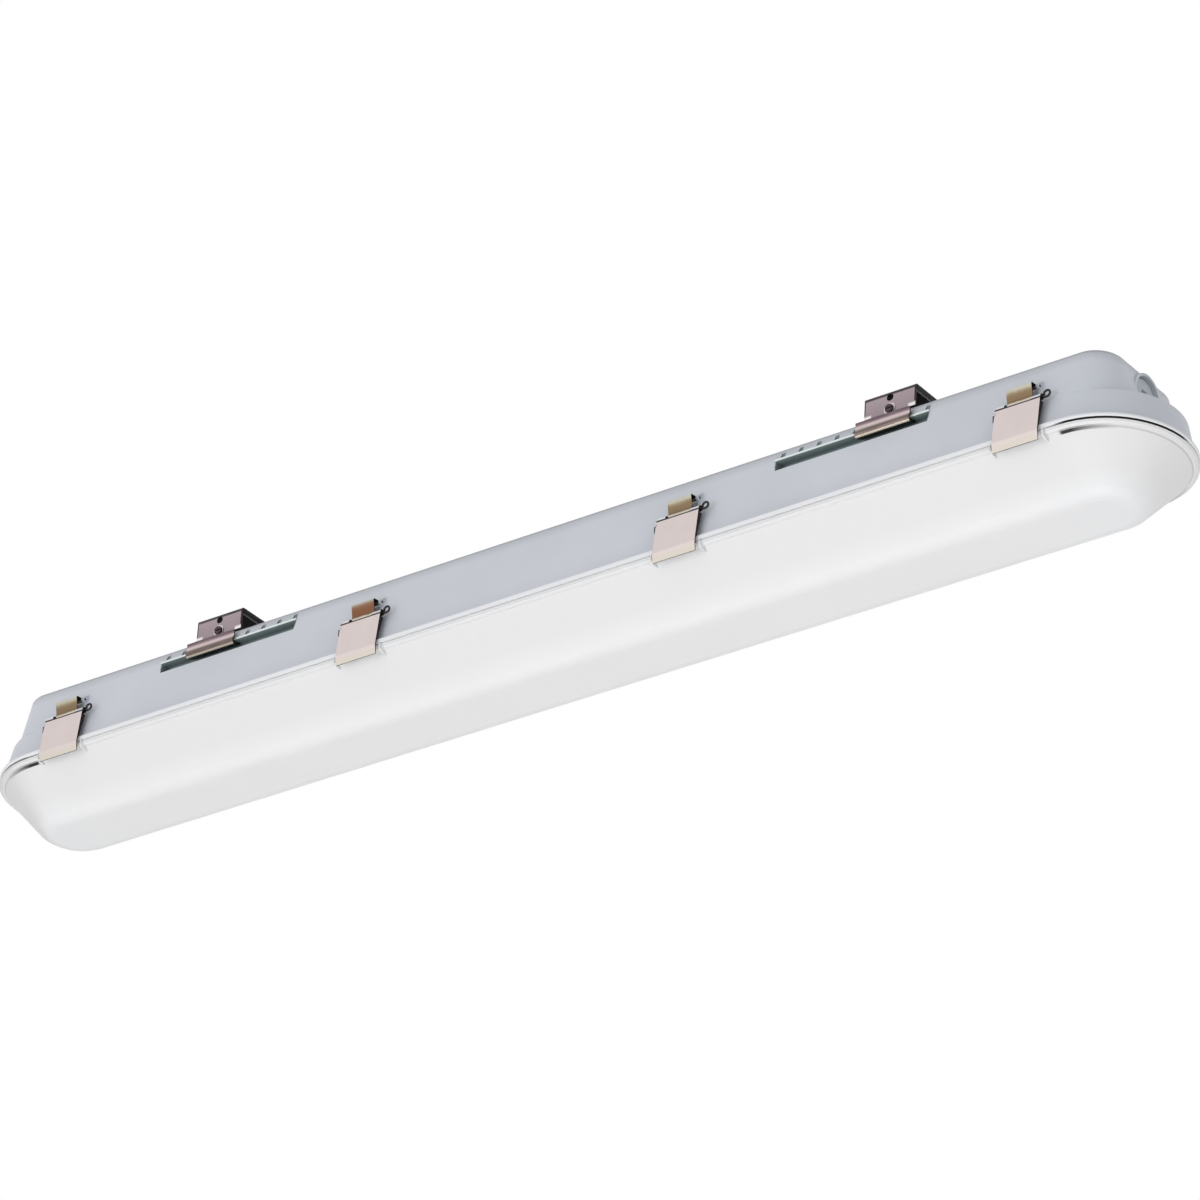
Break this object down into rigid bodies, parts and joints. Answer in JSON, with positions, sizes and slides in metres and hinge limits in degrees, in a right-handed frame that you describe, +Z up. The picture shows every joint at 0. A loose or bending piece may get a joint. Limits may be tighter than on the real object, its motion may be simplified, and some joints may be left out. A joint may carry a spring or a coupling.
{
  "type": "vapor tight light fixture",
  "caption": "Sealed linear ceiling light: moulded housing on sliding ceiling brackets, with a frosted diffuser clamped by toggle latches.",
  "frame": {"origin": "on the ceiling plane, midway between the holes in the two ceiling brackets' top plates", "axes": "+X along the fixture, -Y the side with the front latches, +Z up"},
  "size_m": [1.27, 0.16, 0.15],
  "materials": {
    "housing_grey": "satin moulded",
    "diffuser_frost": "frosted, translucent",
    "seal_black": "matte",
    "stainless": "satin",
    "stainless_dark": "satin, rolled",
    "zinc_steel": "zinc plated",
    "tray_white": "satin white",
    "board_white": "white solder mask",
    "chip_yellow": "phosphor",
    "plastic_white": "moulded",
    "lead_black": "PVC sheath",
    "lead_white": "PVC sheath",
    "lead_green": "PVC sheath",
    "screw_green": "green plated",
    "brass": "bright"
  },
  "bodies": {
    "fixture_body": {"housing": "housing_grey", "rim_gasket": "seal_black", "gear_tray": "tray_white", "tray_screws": "zinc_steel", "lead_grommet": "seal_black", "led_board_left": "board_white", "led_board_right": "board_white", "led_chips_left": "chip_yellow", "led_chips_right": "chip_yellow", "board_screws": "zinc_steel", "board_connectors": "plastic_white", "board_jumper": "lead_white", "led_driver": "plastic_white", "driver_screws": "zinc_steel", "terminal_block": "plastic_white", "terminal_screws": "brass", "input_leads": "lead_black", "output_leads": "lead_white", "ground_lead": "lead_green", "ground_screw": "screw_green", "entry_plug_left": "housing_grey", "entry_plug_right": "housing_grey", "plug_seals": "seal_black", "latch_hinge_pins": "stainless", "latch_lugs": "housing_grey"},
    "diffuser_cover": {"diffuser": "diffuser_frost"},
    "hook_front_1": {"latch_hook_front_1": "stainless", "latch_pin_front_1": "stainless"},
    "lever_front_1": {"latch_lever_front_1": "stainless"},
    "hook_front_2": {"latch_hook_front_2": "stainless", "latch_pin_front_2": "stainless"},
    "lever_front_2": {"latch_lever_front_2": "stainless"},
    "hook_front_3": {"latch_hook_front_3": "stainless", "latch_pin_front_3": "stainless"},
    "lever_front_3": {"latch_lever_front_3": "stainless"},
    "hook_front_4": {"latch_hook_front_4": "stainless", "latch_pin_front_4": "stainless"},
    "lever_front_4": {"latch_lever_front_4": "stainless"},
    "hook_rear_1": {"latch_hook_rear_1": "stainless", "latch_pin_rear_1": "stainless"},
    "lever_rear_1": {"latch_lever_rear_1": "stainless"},
    "hook_rear_2": {"latch_hook_rear_2": "stainless", "latch_pin_rear_2": "stainless"},
    "lever_rear_2": {"latch_lever_rear_2": "stainless"},
    "hook_rear_3": {"latch_hook_rear_3": "stainless", "latch_pin_rear_3": "stainless"},
    "lever_rear_3": {"latch_lever_rear_3": "stainless"},
    "hook_rear_4": {"latch_hook_rear_4": "stainless", "latch_pin_rear_4": "stainless"},
    "lever_rear_4": {"latch_lever_rear_4": "stainless"},
    "bracket_left": {"ceiling_bracket_left": "stainless_dark", "bracket_screws_left": "zinc_steel", "bracket_nuts_left": "zinc_steel"},
    "bracket_right": {"ceiling_bracket_right": "stainless_dark", "bracket_screws_right": "zinc_steel", "bracket_nuts_right": "zinc_steel"}
  },
  "joints": [
    {"name": "diffuser_drop", "type": "slide", "parent": "fixture_body", "child": "diffuser_cover", "axis": [0, 0, -1], "range_m": [0, 0.055]},
    {"name": "hook_swing_front_1", "type": "hinge", "parent": "fixture_body", "child": "hook_front_1", "pos_m": [-0.527, -0.067, -0.053], "axis": [-1, 0, 0], "range_deg": [0, 90]},
    {"name": "lever_swing_front_1", "type": "hinge", "parent": "hook_front_1", "child": "lever_front_1", "pos_m": [-0.527, -0.0729, -0.0696], "axis": [-1, 0, 0], "range_deg": [0, 80]},
    {"name": "hook_swing_front_2", "type": "hinge", "parent": "fixture_body", "child": "hook_front_2", "pos_m": [-0.181, -0.067, -0.053], "axis": [-1, 0, 0], "range_deg": [0, 90]},
    {"name": "lever_swing_front_2", "type": "hinge", "parent": "hook_front_2", "child": "lever_front_2", "pos_m": [-0.181, -0.0729, -0.0696], "axis": [-1, 0, 0], "range_deg": [0, 80]},
    {"name": "hook_swing_front_3", "type": "hinge", "parent": "fixture_body", "child": "hook_front_3", "pos_m": [0.165, -0.067, -0.053], "axis": [-1, 0, 0], "range_deg": [0, 90]},
    {"name": "lever_swing_front_3", "type": "hinge", "parent": "hook_front_3", "child": "lever_front_3", "pos_m": [0.165, -0.0729, -0.0696], "axis": [-1, 0, 0], "range_deg": [0, 80]},
    {"name": "hook_swing_front_4", "type": "hinge", "parent": "fixture_body", "child": "hook_front_4", "pos_m": [0.511, -0.067, -0.053], "axis": [-1, 0, 0], "range_deg": [0, 90]},
    {"name": "lever_swing_front_4", "type": "hinge", "parent": "hook_front_4", "child": "lever_front_4", "pos_m": [0.511, -0.0729, -0.0696], "axis": [-1, 0, 0], "range_deg": [0, 80]},
    {"name": "hook_swing_rear_1", "type": "hinge", "parent": "fixture_body", "child": "hook_rear_1", "pos_m": [-0.527, 0.067, -0.053], "axis": [1, 0, 0], "range_deg": [0, 90]},
    {"name": "lever_swing_rear_1", "type": "hinge", "parent": "hook_rear_1", "child": "lever_rear_1", "pos_m": [-0.527, 0.0729, -0.0696], "axis": [1, 0, 0], "range_deg": [0, 80]},
    {"name": "hook_swing_rear_2", "type": "hinge", "parent": "fixture_body", "child": "hook_rear_2", "pos_m": [-0.181, 0.067, -0.053], "axis": [1, 0, 0], "range_deg": [0, 90]},
    {"name": "lever_swing_rear_2", "type": "hinge", "parent": "hook_rear_2", "child": "lever_rear_2", "pos_m": [-0.181, 0.0729, -0.0696], "axis": [1, 0, 0], "range_deg": [0, 80]},
    {"name": "hook_swing_rear_3", "type": "hinge", "parent": "fixture_body", "child": "hook_rear_3", "pos_m": [0.165, 0.067, -0.053], "axis": [1, 0, 0], "range_deg": [0, 90]},
    {"name": "lever_swing_rear_3", "type": "hinge", "parent": "hook_rear_3", "child": "lever_rear_3", "pos_m": [0.165, 0.0729, -0.0696], "axis": [1, 0, 0], "range_deg": [0, 80]},
    {"name": "hook_swing_rear_4", "type": "hinge", "parent": "fixture_body", "child": "hook_rear_4", "pos_m": [0.511, 0.067, -0.053], "axis": [1, 0, 0], "range_deg": [0, 90]},
    {"name": "lever_swing_rear_4", "type": "hinge", "parent": "hook_rear_4", "child": "lever_rear_4", "pos_m": [0.511, 0.0729, -0.0696], "axis": [1, 0, 0], "range_deg": [0, 80]},
    {"name": "bracket_slide_left", "type": "slide", "parent": "fixture_body", "child": "bracket_left", "axis": [1, 0, 0], "range_m": [-0.031, 0.067]},
    {"name": "bracket_slide_right", "type": "slide", "parent": "fixture_body", "child": "bracket_right", "axis": [1, 0, 0], "range_m": [-0.083, 0.015]}
  ],
  "couplings": [
    {"joint": "hook_swing_front_1", "follows": "diffuser_drop", "rad_per_m": 28.55},
    {"joint": "hook_swing_front_2", "follows": "diffuser_drop", "rad_per_m": 28.55},
    {"joint": "hook_swing_front_3", "follows": "diffuser_drop", "rad_per_m": 28.55},
    {"joint": "hook_swing_front_4", "follows": "diffuser_drop", "rad_per_m": 28.55},
    {"joint": "hook_swing_rear_1", "follows": "diffuser_drop", "rad_per_m": 28.55},
    {"joint": "hook_swing_rear_2", "follows": "diffuser_drop", "rad_per_m": 28.55},
    {"joint": "hook_swing_rear_3", "follows": "diffuser_drop", "rad_per_m": 28.55},
    {"joint": "hook_swing_rear_4", "follows": "diffuser_drop", "rad_per_m": 28.55}
  ]
}
